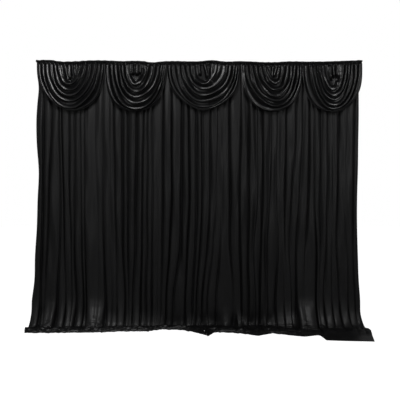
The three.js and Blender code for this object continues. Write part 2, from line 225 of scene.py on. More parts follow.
RIGHT_CREASES = (
    Crease(top=48, mid=45, low=25, foot=-17, upper=24, lower=26),
    Crease(top=122, mid=119, low=86, foot=28, upper=42, lower=44),
    Crease(top=197, mid=186, low=152, foot=92, upper=26, lower=34),
    Crease(top=263, mid=252, low=230, foot=186, upper=24, lower=44),
    Crease(top=330, mid=344, low=341, foot=380, upper=50, lower=34),
    Crease(top=463, mid=444, low=455, foot=468, upper=34, lower=42, face=-0.3),
    Crease(top=551, mid=549, low=540, foot=551, upper=44, lower=44, face=-0.45),
    Crease(top=640, mid=640, low=601, foot=616, upper=30, lower=30, face=-0.6),
    Crease(top=706, mid=706, low=684, foot=673, upper=42, lower=48, face=-0.5),
    Crease(top=795, mid=773, low=743, foot=751, upper=34, lower=32, face=-0.4),
    Crease(top=856, mid=850, low=873, foot=845, upper=28, lower=44, face=-0.3),
    Crease(top=917, mid=898, low=917, foot=935, upper=26, lower=25),
    Crease(top=961, mid=945, low=950, foot=980, upper=46, lower=12),
    Crease(top=1072, mid=1022, low=1000, foot=1022, upper=40, lower=24),
    Crease(top=1150, mid=1111, low=1072, foot=1072, upper=44, lower=46, face=0.12),
    Crease(top=1224, mid=1205, low=1172, foot=1150, upper=50, lower=8, face=0.18),
    Crease(top=1272, mid=1272, low=1294, foot=1286, upper=32, lower=50),
    Crease(top=1349, mid=1349, low=1342, foot=1328, upper=44, lower=20),
    Crease(top=1423, mid=1419, low=1404, foot=1376, upper=38, lower=38),
    Crease(top=1482, mid=1474, low=1471, foot=1466, upper=22, lower=26),
    Crease(top=1541, mid=1524, low=1515, foot=1550, upper=48, lower=38, face=0.08),
    Crease(top=1637, mid=1604, low=1637, foot=1640, upper=14, lower=26, face=0.08),
    Crease(top=1715, mid=1700, low=1700, foot=1720, upper=40, lower=34),
    Crease(top=1762, mid=1745, low=1752, foot=1785, upper=28, lower=30),
)

LEFT_HEM = (
    HemPoint(at=-1852, roll=190, reach=244, roll_swing=-12, edge_swing=8),
    HemPoint(at=-1560, roll=205, reach=258, roll_swing=-18, edge_swing=-20),
    HemPoint(at=-1250, roll=188, reach=238, roll_swing=-8, edge_swing=-10),
    HemPoint(at=-1050, roll=172, reach=232, roll_swing=0, edge_swing=0),
    HemPoint(at=-800, roll=142, reach=190, roll_swing=-8, edge_swing=-12),
    HemPoint(at=-520, roll=130, reach=176, roll_swing=-12, edge_swing=-20),
    HemPoint(at=-360, roll=78, reach=112, roll_swing=-40, edge_swing=-50),
    HemPoint(at=-150, roll=100, reach=136, roll_swing=-34, edge_swing=-44),
    HemPoint(at=-60, roll=140, reach=180, roll_swing=-34, edge_swing=-46),
    HemPoint(at=12, roll=186, reach=328, roll_swing=38, edge_swing=70),
)

RIGHT_HEM = (
    HemPoint(at=-20, roll=190, reach=360, roll_swing=60, edge_swing=106),
    HemPoint(at=90, roll=172, reach=236, roll_swing=44, edge_swing=70),
    HemPoint(at=200, roll=170, reach=228, roll_swing=20, edge_swing=30),
    HemPoint(at=420, roll=202, reach=270, roll_swing=16, edge_swing=20),
    HemPoint(at=600, roll=236, reach=338, roll_swing=8, edge_swing=10),
    HemPoint(at=760, roll=204, reach=268, roll_swing=4, edge_swing=5),
    HemPoint(at=1090, roll=256, reach=366, roll_swing=0, edge_swing=0),
    HemPoint(at=1236, roll=235, reach=318, roll_swing=2, edge_swing=0),
    HemPoint(at=1262, roll=238, reach=335, roll_swing=4, edge_swing=0),
    HemPoint(at=1280, roll=240, reach=500, roll_swing=5, edge_swing=0),
    HemPoint(at=1440, roll=245, reach=522, roll_swing=10, edge_swing=-4),
    HemPoint(at=1785, roll=235, reach=545, roll_swing=40, edge_swing=-30),
)

LEFT_SIDE = (
    SidePoint(fall=0, shift=0),
    SidePoint(fall=130, shift=2),
    SidePoint(fall=298, shift=22),
    SidePoint(fall=450, shift=11),
    SidePoint(fall=620, shift=-2),
    SidePoint(fall=900, shift=-5),
    SidePoint(fall=1225, shift=13),
    SidePoint(fall=1535, shift=0),
    SidePoint(fall=1888, shift=4),
    SidePoint(fall=2150, shift=3),
    SidePoint(fall=2418, shift=17),
    SidePoint(fall=2690, shift=2),
)

RIGHT_SIDE = (
    SidePoint(fall=0, shift=0),
    SidePoint(fall=560, shift=-2),
    SidePoint(fall=830, shift=-6),
    SidePoint(fall=1270, shift=3),
    SidePoint(fall=1700, shift=-3),
    SidePoint(fall=2150, shift=-2),
    SidePoint(fall=2450, shift=-12),
    SidePoint(fall=2690, shift=-4),
)

FOOT_STATIONS = (
    FootStation(up=460, narrow=0, broad=0, to_edge=0, turn=0, relief=1),
    FootStation(up=330, narrow=0, broad=0.02, to_edge=0, turn=2, relief=0.98),
    FootStation(up=250, narrow=0.002, broad=0.11, to_edge=0, turn=4, relief=0.95),
    FootStation(up=190, narrow=0.015, broad=0.25, to_edge=0, turn=8, relief=0.9),
    FootStation(up=150, narrow=0.055, broad=0.365, to_edge=0, turn=12, relief=0.82),
    FootStation(up=120, narrow=0.115, broad=0.455, to_edge=0, turn=17, relief=0.72),
    FootStation(up=90, narrow=0.2, broad=0.545, to_edge=0, turn=23, relief=0.6),
    FootStation(up=60, narrow=0.3, broad=0.64, to_edge=0, turn=29, relief=0.48),
    FootStation(up=42, narrow=0.38, broad=0.7, to_edge=0, turn=35, relief=0.42),
    FootStation(up=26, narrow=0.47, broad=0.77, to_edge=0, turn=50, relief=0.36),
    FootStation(up=20, narrow=0.58, broad=0.85, to_edge=0, turn=75, relief=0.33),
    FootStation(up=16, narrow=1, broad=1, to_edge=0, turn=90, relief=0.3),
    FootStation(up=7, narrow=1, broad=1, to_edge=0.55, turn=90, relief=0.24),
    FootStation(up=1.6, narrow=1, broad=1, to_edge=1, turn=90, relief=0.12),
)


def smooth(value: np.ndarray, start: float, end: float) -> np.ndarray:
    """Smooth step of values, from 0 at start to 1 at end."""
    t = np.clip((value - start) / (end - start), 0, 1)
    return t * t * (3 - 2 * t)


def mix(a: np.ndarray, b: np.ndarray, share: np.ndarray) -> np.ndarray:
    """Straight blend from a to b by a share from 0 to 1."""
    return a + (b - a) * share


def spline(knots: np.ndarray, values: np.ndarray, places: np.ndarray, ends: float = 0.0) -> np.ndarray:
    """Smooth curve through values.

    Args:
        knots: Rising places of the values.
        values: One value, or one row of values, for each knot.
        places: Places to read the curve at.
        ends: Share of the natural slope that is kept at both ends.

    Returns:
        One value, or one row of values, for each place.
    """
    knots = np.asarray(knots, float)
    values = np.asarray(values, float)
    places = np.clip(np.asarray(places, float), knots[0], knots[-1])
    slopes = np.gradient(values, knots, axis=0)
    slopes[0] *= ends
    slopes[-1] *= ends
    cell = np.clip(np.searchsorted(knots, places, side="right") - 1, 0, len(knots) - 2)
    width = knots[cell + 1] - knots[cell]
    t = (places - knots[cell]) / width
    if values.ndim > 1:
        width, t = width[:, None], t[:, None]
    curve = (1 + 2 * t) * (1 - t) ** 2 * values[cell] + t * t * (3 - 2 * t) * values[cell + 1]
    return curve + width * (t * (1 - t) ** 2 * slopes[cell] - t * t * (1 - t) * slopes[cell + 1])


def heading_rise(x: np.ndarray) -> np.ndarray:
    """Rise of the heading's top edge, in metres, at places across in metres."""
    at = [point.at * MM for point in HEADING_WAVE]
    return spline(at, [point.rise * MM for point in HEADING_WAVE], np.ravel(x)).reshape(np.shape(x))


def height_at(x: np.ndarray, fall: np.ndarray) -> np.ndarray:
    """Height of a point that falls so far below the heading, whose wave fades out further down."""
    return heading_rise(x) * (1 - smooth(fall, 0, WAVE_FADE)) - fall


@dataclass(frozen=True)
class Unevenness:
    """Seeded sum of plane waves, which makes cloth uneven without a repeat.

    across and along are the lengths of the mean wave both ways, in the units of the places.
    """

    seed: int
    across: float
    along: float = math.inf
    waves: int = 9
    pace_range: tuple[float, float] = (0.6, 1.6)

    def at(self, x: np.ndarray, y: np.ndarray | float = 0.0) -> np.ndarray:
        """Reads the waves.

        Args:
            x: Places across.
            y: Places along.

        Returns:
            Values mostly from -1 to 1.
        """
        chance = np.random.default_rng(self.seed)
        across, along = x / self.across, y / self.along
        total = np.zeros(np.broadcast(across, along).shape)
        for _ in range(self.waves):
            angle = chance.uniform(0, math.tau)
            pace = math.tau * chance.uniform(*self.pace_range)
            phase = chance.uniform(0, math.tau)
            total += np.sin(pace * (across * math.cos(angle) + along * math.sin(angle)) + phase)
        return total / math.sqrt(self.waves)


def feed(tree: bpy.types.NodeTree, node: bpy.types.Node, feeds: dict[str | int, object]) -> None:
    """Gives inputs of a node their values, or links them to outputs of other nodes.

    Args:
        tree: Node tree of the node.
        node: The node.
        feeds: The value or the output socket for each input, by its name or its place.
    """
    for key, value in feeds.items():
        if isinstance(value, bpy.types.NodeSocket):
            tree.links.new(value, node.inputs[key])
        else:
            node.inputs[key].default_value = value


def add_node(tree: bpy.types.NodeTree, kind: str, feeds: dict[str | int, object]) -> bpy.types.Node:
    """Adds a node.

    Args:
        tree: Node tree to add it to.
        kind: The node's type.
        feeds: The value or the output socket for each input, by its name or its place.

    Returns:
        The node.
    """
    node = tree.nodes.new(kind)
    feed(tree, node, feeds)
    return node


def math_node(
    tree: bpy.types.NodeTree, operation: str, a: object, b: object, clamp: bool = False
) -> bpy.types.NodeSocket:
    """Adds a Math node.

    Args:
        tree: Node tree to add it to.
        operation: The node's operation.
        a: First input, a socket or a number.
        b: Second input, a socket or a number.
        clamp: Whether the result is kept from 0 to 1.

    Returns:
        The node's output.
    """
    node = add_node(tree, "ShaderNodeMath", {0: a, 1: b})
    node.operation = operation
    node.use_clamp = clamp
    return node.outputs[0]


def stretched(
    tree: bpy.types.NodeTree, vector: bpy.types.NodeSocket, by: object
) -> bpy.types.NodeSocket:
    """Adds a node that stretches a vector.

    Args:
        tree: Node tree to add it to.
        vector: The vector.
        by: What it is multiplied by, a socket or three numbers.

    Returns:
        The node's output.
    """
    node = add_node(tree, "ShaderNodeVectorMath", {0: vector, 1: by})
    node.operation = "MULTIPLY"
    return node.outputs[0]


class ShaderGroup:
    """Base of the effects that several finishes share: a node group that is built once.

    Every group takes a Vector and the numbers in inputs, and gives the values in outputs.
    """

    name = ""
    inputs: dict[str, float] = {}
    outputs: tuple[str, ...] = ()

    def group(self) -> bpy.types.NodeTree:
        """Builds the node group the first time it is asked for.

        Returns:
            The node group.
        """
        found = bpy.data.node_groups.get(self.name)
        if found:
            return found
        tree = bpy.data.node_groups.new(self.name, "ShaderNodeTree")
        tree.interface.new_socket(name="Vector", in_out="INPUT", socket_type="NodeSocketVector")
        for name, value in self.inputs.items():
            made = tree.interface.new_socket(name=name, in_out="INPUT", socket_type="NodeSocketFloat")
            made.default_value = value
        for name in self.outputs:
            tree.interface.new_socket(name=name, in_out="OUTPUT", socket_type="NodeSocketFloat")
        self.fill(tree, tree.nodes.new("NodeGroupInput"), tree.nodes.new("NodeGroupOutput"))
        return tree

    def fill(self, tree: bpy.types.NodeTree, start: bpy.types.Node, end: bpy.types.Node) -> None:
        """Builds the nodes between the group's inputs, start, and its outputs, end."""
        raise NotImplementedError


class SatinWeave(ShaderGroup):
    """Fine warp and weft threads with slubs, on a UV map in metres.

    warp, weft and slub are the shares of the pace across and along the cloth at which each one changes.
    """

    name = "satin_weave"
    inputs = {"Warp Pitch": 0.0012}
    outputs = ("Height", "Slub")
    warp = (1.0, 0.035)
    weft = (0.05, 0.8)
    slub = (0.25, 0.006)
    weft_height = 0.6

    def fill(self, tree: bpy.types.NodeTree, start: bpy.types.Node, end: bpy.types.Node) -> None:
        """Builds the nodes: streaks along the warp, shorter ones along the weft, and sparse slubs.

        Args:
            tree: The group.
            start: The group's inputs.
            end: The group's outputs.
        """
        pace = math_node(tree, "DIVIDE", 1.0, start.outputs["Warp Pitch"])
        warp, weft, slub = (
            self.streaks(tree, start.outputs["Vector"], pace, shares)
            for shares in (self.warp, self.weft, self.slub)
        )
        raised = math_node(tree, "MULTIPLY", weft, self.weft_height)
        feed(tree, end, {"Height": math_node(tree, "ADD", warp, raised), "Slub": slub})

    @staticmethod
    def streaks(
        tree: bpy.types.NodeTree,
        vector: bpy.types.NodeSocket,
        pace: bpy.types.NodeSocket,
        shares: tuple[float, float],
    ) -> bpy.types.NodeSocket:
        """Adds noise that is drawn out along the cloth.

        Args:
            tree: The group.
            vector: Place on the cloth.
            pace: Threads in a metre.
            shares: Shares of the pace across and along the cloth.

        Returns:
            The noise.
        """
        across, along = (math_node(tree, "MULTIPLY", pace, share) for share in shares)
        scale = add_node(tree, "ShaderNodeCombineXYZ", {"X": across, "Y": along})
        placed = stretched(tree, vector, scale.outputs[0])
        noise = add_node(tree, "ShaderNodeTexNoise", {"Vector": placed, "Scale": 1.0, "Detail": 1.0})
        return noise.outputs["Fac"]


class ClothCrumple(ShaderGroup):
    """Soft dents and fine ridges that pressing and packing leave in cloth, on Object coordinates."""

    name = "cloth_crumple"
    inputs = {"Dent Scale": 9.0, "Ridge Scale": 16.0}
    outputs = ("Dents", "Ridges")
    upright = (1.0, 1.0, 0.22)

    def fill(self, tree: bpy.types.NodeTree, start: bpy.types.Node, end: bpy.types.Node) -> None:
        """Builds the nodes: upright dents and a web of fine ridges.

        Args:
            tree: The group.
            start: The group's inputs.
            end: The group's outputs.
        """
        place = start.outputs["Vector"]
        dents = add_node(
            tree,
            "ShaderNodeTexNoise",
            {
                "Vector": stretched(tree, place, self.upright),
                "Scale": start.outputs["Dent Scale"],
                "Detail": 2.5,
                "Roughness": 0.5,
            },
        )
        ridges = add_node(
            tree,
            "ShaderNodeTexNoise",
            {"Vector": place, "Scale": start.outputs["Ridge Scale"], "Detail": 2.0},
        )
        ridges.noise_type = "RIDGED_MULTIFRACTAL"
        feed(tree, end, {"Dents": dents.outputs["Fac"], "Ridges": ridges.outputs["Fac"]})


@dataclass(frozen=True)
class SatinFinish:
    """A black cloth: its colour and gloss, and the sizes of its weave and crumple in metres.

    slub_range is where the slubs' noise turns from the first share of the colour in slub_shade to the
    second, and slub_gloss is how much it swings the roughness.
    """

    name: str
    slot: str
    roughness: float
    specular: float
    colour: tuple[float, float, float] = (0.006, 0.006, 0.0065)
    slub_range: tuple[float, float] = (0.3, 0.75)
    slub_shade: tuple[float, float] = (0.75, 1.35)
    slub_gloss: float = 0.12
    warp_pitch: float = 0.0012
    weave_height: float = 0.00005
    dent_scale: float = 9.0
    dent_height: float = 0.004
    ridge_scale: float = 16.0
    ridge_height: float = 0.0006

    def material(self) -> bpy.types.Material:
        """Builds the material the first time it is asked for.

        Returns:
            The material.
        """
        found = bpy.data.materials.get(self.name)
        if found:
            return found
        made = bpy.data.materials.new(self.name)
        made.use_nodes = True
        tree = made.node_tree
        weave, crumple = self.effects(tree)
        feeds = {
            "Specular IOR Level": self.specular,
            "Base Color": self.colour_output(tree, weave),
            "Roughness": self.gloss_output(tree, weave),
            "Normal": self.relief_output(tree, weave, crumple),
        }
        feed(tree, tree.nodes["Principled BSDF"], feeds)
        return made

    def effects(self, tree: bpy.types.NodeTree) -> tuple[bpy.types.Node, bpy.types.Node]:
        """Places the shared effects.

        Args:
            tree: The material's nodes.

        Returns:
            The weave's and the crumple's group nodes.
        """
        place = tree.nodes.new("ShaderNodeTexCoord")
        weave = tree.nodes.new("ShaderNodeGroup")
        weave.node_tree = SatinWeave().group()
        feed(tree, weave, {"Vector": place.outputs["UV"], "Warp Pitch": self.warp_pitch})
        crumple = tree.nodes.new("ShaderNodeGroup")
        crumple.node_tree = ClothCrumple().group()
        scales = {"Dent Scale": self.dent_scale, "Ridge Scale": self.ridge_scale}
        feed(tree, crumple, {"Vector": place.outputs["Object"], **scales})
        return weave, crumple

    def colour_output(self, tree: bpy.types.NodeTree, weave: bpy.types.Node) -> bpy.types.NodeSocket:
        """Lets the slubs change the colour a little.

        Args:
            tree: The material's nodes.
            weave: The weave's group node.

        Returns:
            The colour.
        """
        ramp = add_node(tree, "ShaderNodeValToRGB", {"Fac": weave.outputs["Slub"]})
        for stop, at, shade in zip(ramp.color_ramp.elements, self.slub_range, self.slub_shade):
            stop.position = at
            stop.color = (*[shade * part for part in self.colour], 1)
        return ramp.outputs["Color"]

    def gloss_output(self, tree: bpy.types.NodeTree, weave: bpy.types.Node) -> bpy.types.NodeSocket:
        """Returns the roughness, which the slubs of the weave's group node change a little."""
        swing = math_node(tree, "MULTIPLY", weave.outputs["Slub"], self.slub_gloss)
        return math_node(tree, "ADD", swing, self.roughness - self.slub_gloss / 2, clamp=True)

    def relief_output(
        self, tree: bpy.types.NodeTree, weave: bpy.types.Node, crumple: bpy.types.Node
    ) -> bpy.types.NodeSocket:
        """Adds the weave, dents and ridges as one bump.

        Args:
            tree: The material's nodes.
            weave: The weave's group node.
            crumple: The crumple's group node.

        Returns:
            The normal.
        """
        threads = math_node(tree, "MULTIPLY", weave.outputs["Height"], self.weave_height)
        dents = math_node(tree, "MULTIPLY", crumple.outputs["Dents"], self.dent_height)
        ridges = math_node(tree, "MULTIPLY", crumple.outputs["Ridges"], self.ridge_height)
        total = math_node(tree, "ADD", math_node(tree, "ADD", threads, dents), ridges)
        bump = add_node(tree, "ShaderNodeBump", {"Strength": 1.0, "Distance": 1.0, "Height": total})
        return bump.outputs["Normal"]


DRAPE_SATIN = SatinFinish(
    name="drape satin", slot="drape_satin", roughness=0.42, specular=0.5, weave_height=0.00002
)
SWAG_SATIN = SatinFinish(
    name="swag satin",
    slot="swag_satin",
    roughness=0.3,
    specular=0.5,
    weave_height=0.000006,
    dent_height=0.0008,
    ridge_height=0.00006,
)
BINDING_CLOTH = SatinFinish(
    name="binding cloth", slot="binding_cloth", roughness=0.6, specular=0.2, dent_height=0.001
)


@dataclass(kw_only=True)
class ClothSheet:
    """Base of the cloth pieces: a grid that is laid out as the hung cloth and given its thickness."""

    name: str
    node: str
    finish: SatinFinish
    held: Held
    flat: tuple[float, float]
    rests_on: tuple[str, ...]
    thickness: float = 0.001

    def surface(self) -> np.ndarray:
        """Returns the points of the hung cloth, as rows down the cloth by columns across by 3."""
        raise NotImplementedError

    def build(self) -> bpy.types.Object:
        """Makes the sheet: a grid, moved to the hung cloth's points, then given its thickness.

        Returns:
            The finished piece.
        """
        points = self.surface()
        rows, columns = points.shape[:2]
        bpy.ops.object.select_all(action="DESELECT")
        bpy.ops.mesh.primitive_grid_add(
            x_subdivisions=columns - 1, y_subdivisions=rows - 1, size=2, calc_uvs=True, location=(0, 0, 0)
        )
        sheet = bpy.context.active_object
        sheet.name = sheet.data.name = self.name
        mesh = sheet.data
        grid = np.zeros(len(mesh.vertices) * 3)
        mesh.vertices.foreach_get("co", grid)
        grid = grid.reshape(-1, 3)
        column = np.rint((grid[:, 0] + 1) / 2 * (columns - 1)).astype(int)
        row = np.rint((1 - grid[:, 1]) / 2 * (rows - 1)).astype(int)
        mesh.vertices.foreach_set("co", points[row, column].ravel())
        self.map_cloth(mesh, points, row, column)
        mesh.update()
        self.thicken(sheet)
        bpy.ops.object.shade_smooth()
        return sheet

    @staticmethod
    def map_cloth(mesh: bpy.types.Mesh, points: np.ndarray, row: np.ndarray, column: np.ndarray) -> None:
        """Sets the UV map to lengths along the cloth, in metres.

        Args:
            mesh: The grid's mesh.
            points: The hung cloth's points.
            row: Row of each vertex.
            column: Column of each vertex.
        """
        middle = points[len(points) // 2]
        across = np.concatenate([[0], np.cumsum(np.linalg.norm(np.diff(middle, axis=0), axis=1))])
        steps = np.linalg.norm(np.diff(points, axis=0), axis=2)
        down = np.concatenate([np.zeros((1, steps.shape[1])), np.cumsum(steps, axis=0)])
        corner = np.zeros(len(mesh.loops), np.int32)
        mesh.loops.foreach_get("vertex_index", corner)
        uv = np.stack([across[column], -down[row, column]], axis=1)[corner]
        mesh.uv_layers.active.data.foreach_set("uv", uv.ravel())

    def thicken(self, sheet: bpy.types.Object) -> None:
        """Gives the sheet its thickness, as much to the front as to the back.

        Args:
            sheet: The sheet, which is the active object.
        """
        solid = sheet.modifiers.new("thickness", "SOLIDIFY")
        solid.thickness = self.thickness
        solid.offset = 0
        bpy.ops.object.modifier_apply(modifier=solid.name)

    def dress(self, sheet: bpy.types.Object) -> None:
        """Gives the piece its finish and its body, and hides the imported part of the node it stands for.

        Args:
            sheet: The finished piece.
        """
        sheet.data.materials.clear()
        sheet.data.materials.append(self.finish.material())
        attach(sheet, BODY)
        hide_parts(self.node)


@dataclass(kw_only=True)
class HeadingBinding(ClothSheet):
    """Strip of cloth folded over the raw top edges of the panels and the swags, in metres.

    Its pucker grows from least_pucker of its size at pucker_from below the heading to all of it at
    the strip's edges.
    """

    name: str = "binding_strip"
    node: str = "heading_binding"
    finish: SatinFinish = BINDING_CLOTH
    held: Held = Held.FOLDED
    flat: tuple[float, float] = (3.64, 0.066)
    rests_on: tuple[str, ...] = ("gathered_panel_left", "gathered_panel_right")
    front: float = 0.0098
    back: float = 0.0120
    fall: float = 0.0215
    roof: float = -0.0006
    shoulder: float = 0.0035
    corner: float = 0.0006
    corner_fall: float = -0.0022
    leg_stops: tuple[float, float] = (-0.6, -0.25)
    columns: int = 620
    pucker: float = 0.0011
    pucker_from: float = 0.001
    least_pucker: float = 0.3
    lip_swing: float = 0.0012
    settle: float = 0.0004

    def section(self) -> np.ndarray:
        """Draws the strip's section: up the front leg, over the roof and down the back leg.

        Returns:
            The section's points, each one its place from front to back and its height.
        """
        stops = [-self.fall, *[stop * self.fall for stop in self.leg_stops]]
        front = [(-self.front, stop) for stop in stops]
        front.append((-self.front + self.corner, self.corner_fall))
        front.append((-self.front + self.shoulder, self.roof))
        back = [(self.back, stop) for stop in stops]
        back.append((self.back - self.corner, self.corner_fall))
        back.append((self.back - self.shoulder, self.roof))
        return np.array([*front, (0.0, self.roof), *reversed(back)])

    def surface(self) -> np.ndarray:
        """Runs the section all along the heading and puckers it a little.

        Returns:
            The strip's points, as rows round the section by columns across by 3.
        """
        path = self.section()
        x = np.linspace(-HEADING_WIDTH / 2, HEADING_WIDTH / 2, self.columns)
        x, y = np.meshgrid(x, path[:, 0])
        z = np.broadcast_to(path[:, 1:], x.shape)
        gather = Unevenness(seed=3, across=0.022, along=0.08).at(x, z)
        sway = Unevenness(seed=4, across=0.09).at(x, z)
        low = smooth(-z, self.pucker_from, self.fall)
        out = np.sign(y) * self.pucker * gather * mix(self.least_pucker, 1, low)
        lip = -self.lip_swing * (gather + sway) * low
        top = self.lip_swing * sway * (1 - low)
        return np.stack([x, y + out, heading_rise(x) + z + lip + top - self.settle], axis=2)


@dataclass(frozen=True)
class HemCrumple:
    """Roll of a panel's hem and the crumpled folds of the cloth that lies on the floor, in metres.

    lying_range is the share of the way out over which the cloth comes to lie and to crumple, and
    calm_range the share of the way on to the edge over which it calms down again, by edge_calm.
    """

    seed: int
    roll_height: float = 0.016
    roll_at: float = 0.9
    roll_spread: float = 0.09
    roll_limits: tuple[float, float] = (0.1, 1.3)
    broad_height: float = 0.013
    fine_height: float = 0.006
    hollow: float = -0.3
    edge_calm: float = 0.7
    lying_range: tuple[float, float] = (0.3, 0.95)
    calm_range: tuple[float, float] = (0.5, 1.0)

    def lift(
        self, x: np.ndarray, out: np.ndarray, to_roll: np.ndarray, to_edge: np.ndarray
    ) -> np.ndarray:
        """Lifts the cloth off its smooth shape.

        Args:
            x: Places across.
            out: Way out over the floor.
            to_roll: Share of the way out to the hem roll.
            to_edge: Share of the way on to the hem's edge.

        Returns:
            The lift of every point.
        """
        lying = smooth(to_roll, *self.lying_range)
        uneven = 0.5 + 0.5 * Unevenness(seed=self.seed + 22, across=0.16).at(x)
        bulge = np.exp(-(((to_roll - self.roll_at) / self.roll_spread) ** 2))
        roll = self.roll_height * np.clip(uneven, *self.roll_limits) * bulge
        broad = 1 - np.abs(Unevenness(seed=self.seed + 20, across=0.17, along=0.05).at(x, out))
        fine = 1 - np.abs(Unevenness(seed=self.seed + 21, across=0.09, along=0.035).at(x, out))
        rough = self.broad_height * np.clip(broad, self.hollow, 1)
        rough = rough + self.fine_height * np.clip(fine, self.hollow, 1)
        return (lying * rough + roll) * (1 - self.edge_calm * smooth(to_edge, *self.calm_range))


@dataclass(kw_only=True)
class GatheredPanel(ClothSheet):
    """One gathered panel, from its raw top edge in the binding to its hem on the floor.

    Sizes are in metres. outer is the place of its outer crease in creases. levels are the falls of the
    creases' places. The ranges are the limits of what chance gives each fold. A fold between two deep
    creases of the foot is broad from the widths in broad_fold, and middle_from and middle_to are the
    places across where the middle of the curtain begins and ends. The sway sets in over the falls in
    free_fall. The ripple is less in patches, down to least_ripple, and patch_range is where the noise
    that makes the patches turns from calm to full ripple.
    """

    creases: tuple[Crease, ...]
    hem: tuple[HemPoint, ...]
    side: tuple[SidePoint, ...]
    outer: int
    seed: int
    finish: SatinFinish = DRAPE_SATIN
    held: Held = Held.GATHERED
    rests_on: tuple[str, ...] = ("binding_strip",)
    levels: tuple[float, ...] = (0.0, 0.75, 1.53, 2.08, 2.69)
    raw_edge: float = 0.005
    straight: float = 0.027
    gathered_back: float = 0.0097
    gathered_depth: float = 0.0082
    hanging_back: float = 0.028
    fold_depth: float = 0.050
    most_stand: float = 1.12
    crease_share: float = 0.78
    tuck: float = 0.055
    narrow_fold: float = 0.025
    wide_fold: float = 0.120
    narrow_crest: float = 0.74
    broad_fold: tuple[float, float] = (0.05, 0.15)
    broad_calm: float = 0.7
    crest_power: float = 2.0
    round_power: float = 0.85
    lean_range: tuple[float, float] = (0.72, 1.36)
    roundness_range: tuple[float, float] = (0.15, 1.0)
    fullness_range: tuple[float, float] = (0.86, 1.04)
    facing_range: tuple[float, float] = (-0.14, 0.14)
    shift: float = 0.0016
    swell: float = 0.10
    ripple: float = 0.0016
    free_fall: tuple[float, float] = (0.05, 0.6)
    least_ripple: float = 0.35
    patch_range: tuple[float, float] = (-0.6, 0.6)
    deep_crease: float = 0.024
    broad_power: int = 5
    middle_from: tuple[float, float] = (-0.45, -0.25)
    middle_to: tuple[float, float] = (0.75, 0.95)
    middle_calm: float = 0.5
    late: float = 1.2
    late_swing: float = 1.1
    late_limits: tuple[float, float] = (0.2, 2.6)
    pressed: float = 0.92
    pressed_out: tuple[float, float] = (0.29, 0.38)
    column_pitch: float = 0.0085
    least_columns: int = 4
    column_crowding: float = 0.45
    hanging_rows: int = 54
    row_spread: float = 1.25
    foot_rows: int = 84

    def columns(self) -> tuple[np.ndarray, np.ndarray]:
        """Spreads columns over the folds, closer together near the creases.

        Returns:
            The fold of each column, and its share of the way across that fold.
        """
        folds, shares = [], []
        for i, (near, far) in enumerate(zip(self.creases, self.creases[1:])):
            count = self.least_columns + round((far.top - near.top) * MM / self.column_pitch)
            step = np.arange(count) / count
            folds += [i] * count
            shares += list(mix(step, 0.5 - 0.5 * np.cos(math.pi * step), self.column_crowding))
        folds.append(len(self.creases) - 2)
        shares.append(1.0)
        return np.array(folds), np.array(shares)

    def crease_places(self, fall: np.ndarray) -> np.ndarray:
        """Runs the creases down the cloth, and the outer one along the panel's side.

        Args:
            fall: Fall of each row below the heading.

        Returns:
            Places across of every crease, as rows by creases.
        """
        table = np.array([(c.top, c.top, c.mid, c.low, c.foot) for c in self.creases]) * MM
        places = spline(self.levels, table.T, fall)
        at = [point.fall * MM for point in self.side]
        places[:, self.outer] += spline(at, [point.shift * MM for point in self.side], fall)
        return places

    def stands(
        self, fall: np.ndarray, fold: np.ndarray, share: np.ndarray
    ) -> tuple[np.ndarray, np.ndarray]:
        """Lays the folds out across the cloth.

        Args:
            fall: Fall of each row below the heading.
            fold: Fold of each column.
            share: Share of the way across its fold of each column.

        Returns:
            The place across and the stand in front of the crease backs, as rows by columns.
        """
        places = self.crease_places(fall)
        near, far = places[:, fold], places[:, fold + 1]
        width = far - near
        lower = smooth(fall, self.levels[2], self.levels[4])[:, None]
        start, end = self.deep_ends(fold)
        whole = mix(width, places[:, end] - places[:, start], lower)
        chance = np.random.default_rng(self.seed)
        lean, roundness, fullness, facing = (
            chance.uniform(*limits, len(self.creases))
            for limits in (self.lean_range, self.roundness_range, self.fullness_range, self.facing_range)
        )
        tucked = np.array([c.tucked for c in self.creases])[fold]
        crest = self.crest(share ** lean[fold], roundness[fold], smooth(whole, *self.broad_fold))
        crest = np.where(tucked, 0, crest)
        rise = mix(self.narrow_crest, 1, smooth(whole, self.narrow_fold, self.wide_fold))
        full = self.fold_depth * rise * fullness[fold]
        upper_depth, lower_depth = np.array([(c.upper, c.lower) for c in self.creases]).T * MM
        crease_stand = self.fold_depth - self.crease_share * mix(upper_depth, lower_depth, lower)
        base = mix(crease_stand[:, fold], crease_stand[:, fold + 1], share)
        facing = np.array([c.face for c in self.creases]) + facing
        stand = mix(base, full, crest) + facing[fold] * width * (share - 0.5) * crest
        omega = self.tuck * np.sin(math.tau * share) * (~tucked)
        x = near + width * (share - omega)
        return x, stand

    def crest(self, at: np.ndarray, roundness: np.ndarray, broad: np.ndarray) -> np.ndarray:
        """Draws the crest of the folds.

        Args:
            at: Share of the way across the fold, after its lean.
            roundness: How round each fold is, from 0 to 1.
            broad: How broad the whole fold is at each place, from 0 to 1.

        Returns:
            A share that is 0 at the creases and 1 on the crest.
        """
        sharp = 1 - np.abs(2 * at - 1) ** (self.crest_power * (1 + broad))
        rounded = (0.5 - 0.5 * np.cos(math.tau * at)) ** self.round_power
        return mix(sharp, rounded, roundness * (1 - self.broad_calm * broad))

